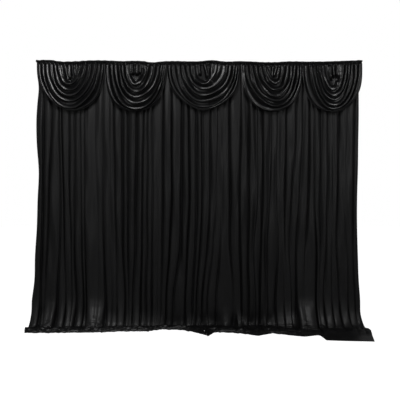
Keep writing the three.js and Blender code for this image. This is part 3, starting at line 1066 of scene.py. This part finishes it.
    def surface(self) -> np.ndarray:
        """Lays out the hanging cloth and its foot on the floor.

        Returns:
            The panel's points, as rows down the cloth by columns across by 3.
        """
        fold, share = self.columns()
        steps = np.linspace(0, 1, self.hanging_rows, endpoint=False)
        top_of_foot = HEADING_HEIGHT - FOOT_STATIONS[0].up * MM
        fall = self.raw_edge + (top_of_foot - self.raw_edge) * steps**self.row_spread
        points = np.concatenate([self.hanging_points(fall, fold, share), self.foot_points(fold, share)])
        points[..., 2] = np.maximum(points[..., 2], -HEADING_HEIGHT + self.thickness)
        return points

    def sway(self, x: np.ndarray, fall: np.ndarray) -> tuple[np.ndarray, np.ndarray]:
        """Small unevenness of hanging folds.

        Args:
            x: Places across.
            fall: Falls below the heading.

        Returns:
            Shifts across and shares added to the stand.
        """
        free = smooth(fall, *self.free_fall)
        shift = self.shift * Unevenness(seed=self.seed + 10, across=0.22, along=1.1).at(x, fall) * free
        swell = self.swell * Unevenness(seed=self.seed + 11, across=0.12, along=0.9).at(x, fall) * free
        ripple = Unevenness(seed=self.seed + 12, across=0.034, along=1.3, waves=14).at(x, fall)
        patches = Unevenness(seed=self.seed + 13, across=0.30, along=1.2).at(x, fall)
        calm = mix(self.least_ripple, 1.0, smooth(patches, *self.patch_range))
        return shift, swell + ripple * calm * free * self.ripple / self.fold_depth

    def hanging_points(self, fall: np.ndarray, fold: np.ndarray, share: np.ndarray) -> np.ndarray:
        """Hangs the cloth from the raw top edge to the top of the foot.

        Args:
            fall: Fall of each row below the heading.
            fold: Fold of each column.
            share: Share of the way across its fold of each column.

        Returns:
            The points of the rows.
        """
        x, stand = self.stands(fall, fold, share)
        falls = np.broadcast_to(fall[:, None], x.shape)
        shift, swell = self.sway(x, falls)
        opened = smooth(falls, self.straight, self.levels[1])
        back = mix(self.gathered_back, self.hanging_back, opened)
        depth = mix(self.gathered_depth, self.fold_depth, opened) / self.fold_depth
        y = back - depth * np.clip(stand * (1 + swell), 0, self.most_stand * self.fold_depth)
        return np.stack([x + shift, y, height_at(x, falls)], axis=2)

    def foot_points(self, fold: np.ndarray, share: np.ndarray) -> np.ndarray:
        """Turns the foot of the cloth forward over the floor.

        Args:
            fold: Fold of each column.
            share: Share of the way across its fold of each column.

        Returns:
            The points of the rows through the foot.
        """
        table = np.array(
            [(s.up * MM, s.narrow, s.broad, s.to_edge, s.turn, s.relief) for s in FOOT_STATIONS]
        )
        station = np.linspace(0, len(FOOT_STATIONS) - 1, self.foot_rows)
        table = spline(np.arange(len(table)), table, station, ends=1.0)
        up, narrow, broad, to_edge, turn, relief = (values[:, None] for values in table.T)
        fall = np.minimum(HEADING_HEIGHT - up[:, 0], self.levels[-1])
        x, stand = self.stands(fall, fold, share)
        shift, swell = self.sway(x, np.broadcast_to(HEADING_HEIGHT - up, x.shape))
        at = [point.at * MM for point in self.hem]
        roll, reach, roll_swing, edge_swing = (
            np.interp(x[-1], at, [getattr(point, key) * MM for point in self.hem])
            for key in ("roll", "reach", "roll_swing", "edge_swing")
        )
        middle = smooth(x[-1], *self.middle_from) * (1 - smooth(x[-1], *self.middle_to))
        broadness = self.broadness(fall[-1], fold, share) * (1 - self.middle_calm * middle)
        to_roll = np.clip(mix(narrow, broad, broadness), 0, 1) ** self.lateness(x[-1], middle)
        swing = mix(roll_swing * to_roll, edge_swing, to_edge)
        out = (roll + self.hanging_back) * to_roll + (reach - roll) * to_edge
        spread = 1 - self.pressed * smooth(out, *self.pressed_out)
        crumple = HemCrumple(seed=self.seed).lift(x, out, to_roll, to_edge)
        lift = (stand * (1 + swell) * relief + crumple) * spread
        y = self.hanging_back - out - lift * np.cos(np.radians(turn))
        z = up + lift * np.sin(np.radians(turn)) - HEADING_HEIGHT
        return np.stack([x + shift + swing, y, z], axis=2)

    def lateness(self, x: np.ndarray, middle: np.ndarray) -> np.ndarray:
        """How late the cloth comes forward in the foot, as a power: 1 outside the middle."""
        uneven = Unevenness(seed=self.seed + 23, across=0.13).at(x)
        return 1 + middle * np.clip(self.late + self.late_swing * uneven, *self.late_limits)

    def deep_ends(self, fold: np.ndarray) -> tuple[np.ndarray, np.ndarray]:
        """Finds the deep creases of the foot that each column lies between.

        Args:
            fold: Fold of each column.

        Returns:
            The places in creases of the deep crease before and after each column.
        """
        deep = [i for i, crease in enumerate(self.creases) if crease.lower * MM >= self.deep_crease]
        deep = np.unique([0, *deep, len(self.creases) - 1])
        after = np.searchsorted(deep, fold, side="right")
        return deep[after - 1], deep[after]

    def broadness(self, fall: float, fold: np.ndarray, share: np.ndarray) -> np.ndarray:
        """How much each column lies on the crest of a broad fold, which leans forward early.

        A broad fold runs from one deep crease to the next, over the shallow ones between them.

        Args:
            fall: Fall of the foot below the heading.
            fold: Fold of each column.
            share: Share of the way across its fold of each column.

        Returns:
            A share from 0 to 1 for each column.
        """
        places = self.crease_places(np.array([fall]))[0]
        start, end = self.deep_ends(fold)
        near, far = places[start], places[end]
        x = mix(places[fold], places[fold + 1], share)
        across = (x - near) / (far - near)
        return smooth(far - near, *self.broad_fold) * (1 - np.abs(2 * across - 1) ** self.broad_power)


@dataclass(kw_only=True)
class Swag(ClothSheet):
    """One swag: satin folded in nested curves that hang from the heading in front of the panels.

    at and aside, where its middle hangs and how far its lowest point is off it, are in millimetres, and
    the other sizes in metres. The reliefs are the depths of its folds on both sides and at the bottom,
    as shares of fold. Where the folds lie closer than open_pitch they are shallower, to tight_relief.
    The ranges named fall are where each effect sets in below the heading, and side_range is where the
    bottom of the swag goes over into its sides. outer_folds is how many folds before the last one the
    outer shape sets in, and is full. fold_tuck draws the folds in over tuck_phase of their width.

    A pleat is flat over flat_share of its width on both sides of its middle, rises over pleat_start of
    its way down, and ends in a nose over pleat_nose of it. At its head it stands out head_stand of its
    size, and a lean of 1 tilts it by lean_share of its stand.
    """

    at: float
    folds: tuple[SwagFold, ...]
    pleats: tuple[Pleat, ...]
    seed: int
    aside: float = 0.0
    left_relief: float = 1.0
    low_relief: float = 1.0
    right_relief: float = 1.0
    left_taper: float = 1.0
    right_taper: float = 1.0
    finish: SatinFinish = SWAG_SATIN
    held: Held = Held.DRAPED
    flat: tuple[float, float] = (0.80, 0.74)
    rests_on: tuple[str, ...] = ("binding_strip",)
    raw_edge: float = 0.005
    straight: float = 0.027
    seat: float = 0.0050
    gather: float = 0.0025
    puff: float = 0.0185
    puff_fall: tuple[float, float] = (0.023, 0.050)
    least: float = 0.0026
    least_growth: float = 0.1
    floor: float = 0.006
    flank: float = 0.017
    front: float = 0.056
    fold: float = 0.0145
    full_fall: float = 0.560
    open_fall: tuple[float, float] = (0.022, 0.062)
    open_pitch: tuple[float, float] = (0.010, 0.036)
    tight_relief: float = 0.12
    relief_swing: float = 0.25
    wander: float = 0.004
    core: tuple[float, float] = (0.9, 1.75)
    core_fall: tuple[float, float] = (0.030, 0.060)
    free_fall: tuple[float, float] = (0.04, 0.25)
    relief_fall: tuple[float, float] = (0.05, 0.2)
    side_range: tuple[float, float] = (0.1, 0.8)
    outer_folds: tuple[float, float] = (2.0, 0.9)
    pleat_calm: float = 0.8
    pleat_start: tuple[float, float] = (0.0, 0.12)
    pleat_nose: tuple[float, float] = (0.84, 1.05)
    flat_share: float = 0.45
    lean_share: float = 0.5
    head_stand: float = 0.6
    fold_tuck: float = 0.16
    tuck_phase: float = 0.4
    inner_shoulder: float = 0.94
    outer_shoulder: float = 0.69
    lines_per_fold: int = 15
    fine_steps: int = 720
    arc_steps: int = 124
    arc_crowding: float = 0.55

    def profile(self, phase: np.ndarray) -> np.ndarray:
        """Draws the section of the folds, from one crest down its steep underside and out to the next.

        Args:
            phase: Share of the way from each crest to the next.

        Returns:
            Relief from 1 on the crests to -1.
        """
        knots = (0.0, 0.04, 0.10, 0.17, 0.25, 0.36, 0.46, 0.56, 0.66, 0.78, 0.90, 1.0)
        relief = (1.0, 0.85, 0.10, -0.75, -1.0, -0.72, -0.22, 0.30, 0.66, 0.86, 0.96, 1.0)
        return spline(knots, relief, phase)

    def lines(self) -> tuple[np.ndarray, np.ndarray]:
        """Spreads lines over the folds, from the core to the hem.

        Returns:
            The place of each line, counted in folds, and its relief.
        """
        last = len(self.folds) - 1
        place = np.linspace(0, last, last * self.lines_per_fold + 1)
        phase = np.mod(place, 1)
        phase[-1] = 1
        relief = self.profile(phase)
        hem = place > last - 1
        relief[hem] = mix(1.0, -1.0, smooth(place[hem], last - 1, last))
        way = np.clip(phase / self.tuck_phase, 0, 1)
        tucked = place - self.fold_tuck * np.sin(math.pi * way) * ~hem
        return np.clip(tucked, 0, last), relief

    def arcs(self, place: np.ndarray) -> tuple[np.ndarray, np.ndarray, np.ndarray, np.ndarray]:
        """Draws the line of every fold from the heading down, round and back up, with even steps.

        Args:
            place: Place of each line, counted in folds.

        Returns:
            Place across, fall, side (1 at the left of the heading, -1 at the right) and lowness (1 at
            the lowest point) of every point.
        """
        last = len(self.folds) - 1
        table = np.array([(f.left, f.right, f.drop) for f in self.folds]) * MM
        left, right, drop = (v[:, None] for v in spline(np.arange(len(table)), table, place, ends=1.0).T)
        outer = smooth(place, *[last - count for count in self.outer_folds])[:, None]
        angle = np.linspace(0, math.pi, self.fine_steps + 1)[None, :]
        low = np.abs(np.sin(angle)) ** mix(self.inner_shoulder, self.outer_shoulder, outer)
        taper = np.where(np.cos(angle) > 0, self.left_taper, self.right_taper)
        side = np.sign(np.cos(angle)) * np.abs(np.cos(angle)) ** mix(1, taper, outer)
        x = self.aside * MM * low**2 - np.where(side > 0, left, right) * side
        fall = self.straight + (drop - self.straight) * low
        steps = np.hypot(np.diff(x, axis=1), np.diff(fall, axis=1)) + LEAST_STEP
        length = np.concatenate([np.zeros((len(place), 1)), np.cumsum(steps, axis=1)], axis=1)
        even = np.linspace(0, 1, self.arc_steps + 1)
        share = even - self.arc_crowding * np.sin(math.tau * even) / math.tau
        lines = [
            [np.interp(share * row[-1], row, values[i]) for values in (x, fall, side, low)]
            for i, row in enumerate(length)
        ]
        lines = np.pad(np.array(lines), ((0, 0), (0, 0), (1, 1)), mode="edge")
        x, fall, side, low = lines.transpose(1, 0, 2)
        fall[:, [0, -1]] = self.raw_edge
        return x, fall, side, low

    def surface(self) -> np.ndarray:
        """Lays out the folds, each point by its arc, its relief and the pleats over it.

        Returns:
            The swag's points, as a row for each line over its folds by a column for each arc step by 3.
        """
        place, relief = self.lines()
        x, fall, side, low = self.arcs(place)
        place = place[:, None]
        bend = np.arccos(np.clip(side, -1, 1))
        across, down, depths = (
            Unevenness(seed=self.seed + more, across=folds, along=1.1).at(place, bend)
            for more, folds in ((40, 2.4), (41, 2.4), (0, 2.2))
        )
        free = smooth(fall, *self.free_fall)
        x = x + self.wander * across * free
        fall = fall + self.wander * down * free
        strength = np.where(
            side > 0,
            mix(self.low_relief, self.left_relief, smooth(side, *self.side_range)),
            mix(self.low_relief, self.right_relief, smooth(-side, *self.side_range)),
        )
        uneven = strength * (1 + self.relief_swing * depths)
        strength = mix(1, uneven, smooth(fall, *self.relief_fall))
        depth = mix(self.gather, self.fold, smooth(fall, *self.open_fall))
        depth = depth * mix(self.tight_relief, 1.0, smooth(self.pitch(x, fall), *self.open_pitch))
        share, extra = self.pressed(x, fall)
        stand = self.smooth_stand(fall)
        wavy = depth * relief[:, None] * strength * (1 - self.pleat_calm * share)
        deep = self.floor + (stand + extra - self.floor) * share
        core = (1 - smooth(place, *self.core)) * smooth(fall, *self.core_fall)
        stand = mix(stand + wavy + extra * share, deep, core)
        stand = np.maximum(stand, self.least + self.least_growth * fall**2)
        x = x + self.at * MM
        return np.stack([x, -stand, height_at(x, fall)], axis=2)

    def smooth_stand(self, fall: np.ndarray) -> np.ndarray:
        """Hangs the swag forward, without its folds.

        Args:
            fall: Falls below the heading.

        Returns:
            How far it stands in front of the heading.
        """
        share = np.clip((fall - self.straight) / (self.full_fall - self.straight), 0, 1)
        puff = (self.puff - self.seat) * smooth(fall, *self.puff_fall)
        return self.seat + puff + (self.front - self.puff) * np.sin(math.pi / 2 * share)

    def pitch(self, x: np.ndarray, fall: np.ndarray) -> np.ndarray:
        """Width of one fold at every point, from the lines half a fold away on both sides.

        Args:
            x: Places across.
            fall: Falls below the heading.

        Returns:
            Widths in metres.
        """
        line = np.arange(len(x))
        half = self.lines_per_fold // 2
        near, far = np.maximum(line - half, 0), np.minimum(line + half, len(x) - 1)
        span = np.hypot(x[far] - x[near], fall[far] - fall[near])
        return span * self.lines_per_fold / (far - near)[:, None]

    def pressed(self, x: np.ndarray, fall: np.ndarray) -> tuple[np.ndarray, np.ndarray]:
        """Lays out the short pressed pleats, each one ending in a rounded nose.

        Args:
            x: Places across from the swag's middle.
            fall: Falls below the heading.

        Returns:
            A share that is 1 on the pleats' crests, and how far they stand out.
        """
        share = np.zeros(x.shape)
        extra = np.zeros(x.shape)
        for pleat in self.pleats:
            way = (fall / MM - pleat.head) / (pleat.fall - pleat.head)
            across = x - mix(pleat.at, pleat.foot, np.clip(way, 0, 1)) * MM
            width = pleat.width * MM
            body = 1 - smooth(np.abs(across), self.flat_share * width, width / 2 + self.flank)
            body = body * smooth(way, *self.pleat_start) * (1 - smooth(way, *self.pleat_nose))
            tilt = self.lean_share * pleat.lean * np.clip(across / width, -1, 1)
            tilted = pleat.stand * MM * (1 - tilt) * mix(self.head_stand, 1, np.clip(way, 0, 1))
            extra = np.where(body > share, tilted, extra)
            share = np.maximum(share, body)
        return share, extra


def hung_swag(number: int, **shape: object) -> Swag:
    """Returns one swag, counted from the left, with the sizes in shape."""
    return Swag(name=f"satin_swag_{number}", node=f"swag_{number}", seed=SWAG_SEED + number, **shape)


def swags() -> list[Swag]:
    """Sets out the five swags.

    Returns:
        The swags, from left to right.
    """
    return [
        hung_swag(
            1,
            left_taper=1.45,
            right_taper=0.92,
            at=-1415,
            left_relief=1.15,
            right_relief=1.25,
            folds=(
                SwagFold(left=0, right=0, drop=165),
                SwagFold(left=52, right=50, drop=205),
                SwagFold(left=125, right=107, drop=273),
                SwagFold(left=168, right=158, drop=332),
                SwagFold(left=210, right=210, drop=396),
                SwagFold(left=261, right=271, drop=454),
                SwagFold(left=299, right=316, drop=529),
                SwagFold(left=343, right=356, drop=546),
                SwagFold(left=354, right=378, drop=556),
            ),
            pleats=(
                Pleat(at=-97, foot=-62, fall=196, stand=15, width=12, lean=1),
                Pleat(at=-14, foot=2, fall=212, stand=19, width=19, lean=1),
                Pleat(at=44, foot=60, fall=176, stand=10, width=8, lean=1),
                Pleat(at=66, foot=66, fall=196, stand=11, width=9, head=160),
            ),
        ),
        hung_swag(
            2,
            left_taper=0.85,
            at=-695,
            left_relief=1.4,
            right_relief=1.3,
            folds=(
                SwagFold(left=0, right=0, drop=165),
                SwagFold(left=45, right=52, drop=212),
                SwagFold(left=105, right=116, drop=283),
                SwagFold(left=150, right=188, drop=350),
                SwagFold(left=183, right=249, drop=418),
                SwagFold(left=224, right=284, drop=482),
                SwagFold(left=268, right=306, drop=544),
                SwagFold(left=316, right=321, drop=554),
                SwagFold(left=342, right=336, drop=562),
            ),
            pleats=(
                Pleat(at=-76, foot=-62, fall=165, stand=9, width=11, lean=1),
                Pleat(at=-42, foot=-34, fall=160, stand=9, width=10, lean=1),
                Pleat(at=16, foot=12, fall=165, stand=10, width=14, lean=1),
                Pleat(at=60, foot=44, fall=150, stand=9, width=10),
                Pleat(at=98, foot=90, fall=92, stand=13, width=9, lean=1),
            ),
        ),
        hung_swag(
            3,
            left_taper=1.45,
            right_taper=1.3,
            at=53,
            left_relief=0.9,
            low_relief=0.9,
            right_relief=1.3,
            folds=(
                SwagFold(left=0, right=0, drop=170),
                SwagFold(left=56, right=66, drop=212),
                SwagFold(left=133, right=147, drop=269),
                SwagFold(left=183, right=238, drop=329),
                SwagFold(left=239, right=294, drop=392),
                SwagFold(left=283, right=335, drop=466),
                SwagFold(left=346, right=362, drop=521),
                SwagFold(left=382, right=384, drop=545),
                SwagFold(left=408, right=400, drop=554),
            ),
            pleats=(
                Pleat(at=-62, foot=-46, fall=165, stand=10, width=14, lean=-1),
                Pleat(at=0, foot=38, fall=205, stand=14, width=9, lean=-1),
                Pleat(at=92, foot=72, fall=200, stand=12, width=12, lean=-1),
                Pleat(at=64, foot=96, fall=262, stand=14, width=22, head=206, lean=-1),
            ),
        ),
        hung_swag(
            4,
            left_taper=0.7,
            right_taper=1.1,
            at=806,
            aside=28,
            left_relief=0.9,
            low_relief=0.9,
            right_relief=1.2,
            folds=(
                SwagFold(left=0, right=0, drop=130),
                SwagFold(left=42, right=52, drop=176),
                SwagFold(left=92, right=122, drop=262),
                SwagFold(left=137, right=172, drop=326),
                SwagFold(left=188, right=212, drop=396),
                SwagFold(left=238, right=248, drop=454),
                SwagFold(left=288, right=287, drop=502),
                SwagFold(left=322, right=309, drop=546),
                SwagFold(left=340, right=330, drop=558),
            ),
            pleats=(
                Pleat(at=-50, foot=-16, fall=160, stand=9, width=12, lean=-1),
                Pleat(at=4, foot=-8, fall=190, stand=10, width=8, lean=-1),
                Pleat(at=52, foot=14, fall=170, stand=9, width=12, lean=-1),
                Pleat(at=-334, foot=-318, fall=360, stand=3, width=30, head=110, lean=-4),
            ),
        ),
        hung_swag(
            5,
            left_taper=0.88,
            right_taper=1.15,
            at=1474,
            left_relief=0.9,
            low_relief=0.8,
            right_relief=1.1,
            folds=(
                SwagFold(left=0, right=0, drop=200),
                SwagFold(left=48, right=48, drop=252),
                SwagFold(left=124, right=110, drop=329),
                SwagFold(left=152, right=148, drop=395),
                SwagFold(left=178, right=178, drop=440),
                SwagFold(left=206, right=212, drop=500),
                SwagFold(left=248, right=256, drop=542),
                SwagFold(left=304, right=298, drop=560),
                SwagFold(left=338, right=322, drop=570),
            ),
            pleats=(
                Pleat(at=-84, foot=-24, fall=216, stand=15, width=14, lean=-1),
                Pleat(at=0, foot=2, fall=186, stand=10, width=7, lean=-1),
                Pleat(at=43, foot=40, fall=186, stand=10, width=7, lean=-1),
                Pleat(at=78, foot=62, fall=186, stand=9, width=8, lean=-1),
                Pleat(at=40, foot=44, fall=284, stand=12, width=16, head=228, lean=-1),
            ),
        ),
    ]


@dataclass
class StudioLight:
    """Base of the studio's lights: its place, the point it faces, in metres, and its power in watts."""

    name: str
    place: tuple[float, float, float]
    aim: tuple[float, float, float]
    power: float

    def add(self, kind: LightKind) -> bpy.types.Light:
        """Adds the light and turns it to the point it faces.

        Args:
            kind: The kind of light.

        Returns:
            The light's settings.
        """
        bpy.ops.object.light_add(type=kind.value, location=self.place)
        light = bpy.context.active_object
        light.name = light.data.name = self.name
        light.data.energy = self.power
        way = Vector(self.aim) - Vector(self.place)
        light.rotation_euler = way.to_track_quat("-Z", "Y").to_euler()
        return light.data


@dataclass
class Softbox(StudioLight):
    """A broad soft light."""

    size: tuple[float, float]

    def build(self) -> None:
        """Adds the light."""
        light = self.add(LightKind.AREA)
        light.shape = "RECTANGLE"
        light.size, light.size_y = self.size


@dataclass
class Spot(StudioLight):
    """A narrow soft light from in front, for one part of the curtain only."""

    cone: float = 16.0
    radius: float = 0.6

    def build(self) -> None:
        """Adds the light."""
        light = self.add(LightKind.SPOT)
        light.spot_size = math.radians(self.cone)
        light.spot_blend = 1.0
        light.shadow_soft_size = self.radius


def softboxes() -> tuple[Softbox, ...]:
    """Sets out the softboxes.

    Returns:
        The four in front of the curtain and the one behind it.
    """
    return (
        Softbox("main softbox", (-0.9, -2.6, 1.6), (-1.2, 0, -0.4), power=31, size=(0.95, 0.95)),
        Softbox("right softbox", (2.6, -4.0, 2.4), (0.8, 0, -0.9), power=12, size=(0.8, 0.8)),
        Softbox("left fill", (-2.0, -6.0, -0.6), (-0.4, 0, -1.0), power=10, size=(1.6, 1.6)),
        Softbox("right fill", (3.0, -4.0, -0.6), (1.6, 0, -1.0), power=8, size=(0.8, 1.2)),
        Softbox("rear softbox", (0.6, 4.0, 0.6), (0, 0, -1.4), power=30, size=(2.0, 1.6)),
    )


def spots() -> tuple[Spot, ...]:
    """Sets out the spots.

    Returns:
        The two on the foot and the two on the outer swags.
    """
    return (
        Spot("left foot spot", (-1.0, -4.2, 2.4), (-1.2, -0.1, -2.8), power=230),
        Spot("right foot spot", (1.0, -4.2, 2.4), (1.25, -0.1, -2.8), power=150),
        Spot("left swag spot", (-0.9, -2.6, 1.6), (-1.52, 0, -0.24), power=55, cone=22, radius=0.3),
        Spot("right swag spot", (2.6, -4.0, 2.4), (1.55, 0, -0.35), power=120, cone=20, radius=0.4),
    )


@dataclass
class Studio:
    """Plain pale floor, soft light and the camera in front of the curtain.

    view_width is what the camera sees across at the heading. surround and overhead are the strengths of
    the surround as the cloth sees it, at the height of the eye and above, where it fades over fade_rise.
    """

    camera_place: tuple[float, float, float] = (0.009, -5.5, -1.532)
    view_width: float = 4.4165
    sensor: float = 36.0
    clip_end: float = 100.0
    floor_size: float = 40.0
    floor_grey: float = 0.5
    floor_roughness: float = 0.9
    floor_specular: float = 0.1
    floor_glow: float = 1.0
    surround: float = 0.175
    overhead: float = 0.04
    fade_rise: tuple[float, float] = (0.4, 0.85)
    lights: tuple[Softbox | Spot, ...] = field(default_factory=lambda: (*softboxes(), *spots()))

    def build(self) -> None:
        """Sets up the floor, the surround, the lights and the camera."""
        self.lay_floor()
        self.light_surround()
        for light in self.lights:
            light.build()
        self.place_camera()

    def lay_floor(self) -> None:
        """Lays the floor under the hem."""
        bpy.ops.mesh.primitive_plane_add(size=self.floor_size, location=(0, 0, -HEADING_HEIGHT))
        floor = bpy.context.active_object
        floor.name = "floor"
        pale = bpy.data.materials.new("pale floor")
        pale.use_nodes = True
        tree = pale.node_tree
        path = tree.nodes.new("ShaderNodeLightPath")
        glow = math_node(tree, "MULTIPLY", path.outputs["Is Camera Ray"], self.floor_glow)
        feeds = {
            "Base Color": (self.floor_grey, self.floor_grey, self.floor_grey, 1),
            "Roughness": self.floor_roughness,
            "Specular IOR Level": self.floor_specular,
            "Emission Color": WHITE,
            "Emission Strength": glow,
        }
        feed(tree, tree.nodes["Principled BSDF"], feeds)
        floor.data.materials.append(pale)

    def light_surround(self) -> None:
        """Makes the surround white to the camera, dim to the cloth and dimmer still overhead."""
        world = bpy.data.worlds.new("studio")
        bpy.context.scene.world = world
        world.use_nodes = True
        tree = world.node_tree
        way = tree.nodes.new("ShaderNodeTexCoord")
        parts = add_node(tree, "ShaderNodeSeparateXYZ", {0: way.outputs["Generated"]})
        fade = add_node(
            tree,
            "ShaderNodeMapRange",
            {
                "Value": parts.outputs["Z"],
                "From Min": self.fade_rise[0],
                "From Max": self.fade_rise[1],
                "To Min": self.surround,
                "To Max": self.overhead,
            },
        )
        path = tree.nodes.new("ShaderNodeLightPath")
        seen = math_node(tree, "MULTIPLY", path.outputs["Is Camera Ray"], 1 - self.surround)
        strength = math_node(tree, "ADD", seen, fade.outputs["Result"])
        feed(tree, tree.nodes["Background"], {"Color": WHITE, "Strength": strength})
        bpy.context.scene.view_settings.view_transform = "Standard"

    def place_camera(self) -> None:
        """Stands the camera level in front of the curtain."""
        bpy.ops.object.camera_add(location=self.camera_place, rotation=(math.radians(90), 0, 0))
        camera = bpy.context.active_object
        camera.data.sensor_width = self.sensor
        camera.data.lens = self.sensor * -self.camera_place[1] / self.view_width
        camera.data.clip_end = self.clip_end
        bpy.context.scene.camera = camera


def main() -> None:
    """Builds the curtain's pieces in order, then the studio."""
    logging.basicConfig(level=logging.INFO, format="%(name)s: %(message)s")
    pieces: list[ClothSheet] = [
        GatheredPanel(
            name="gathered_panel_left",
            node="panel_left",
            flat=(2.42, 3.14),
            creases=LEFT_CREASES,
            hem=LEFT_HEM,
            side=LEFT_SIDE,
            outer=0,
            seed=5,
        ),
        GatheredPanel(
            name="gathered_panel_right",
            node="panel_right",
            flat=(2.30, 3.20),
            creases=RIGHT_CREASES,
            hem=RIGHT_HEM,
            side=RIGHT_SIDE,
            outer=-1,
            seed=8,
        ),
        *swags(),
        HeadingBinding(),
    ]
    for piece in pieces:
        made = piece.build()
        piece.dress(made)
        log.info("%s: %d faces", made.name, len(made.data.polygons))
    Studio().build()


if __name__ == "__main__":
    main()
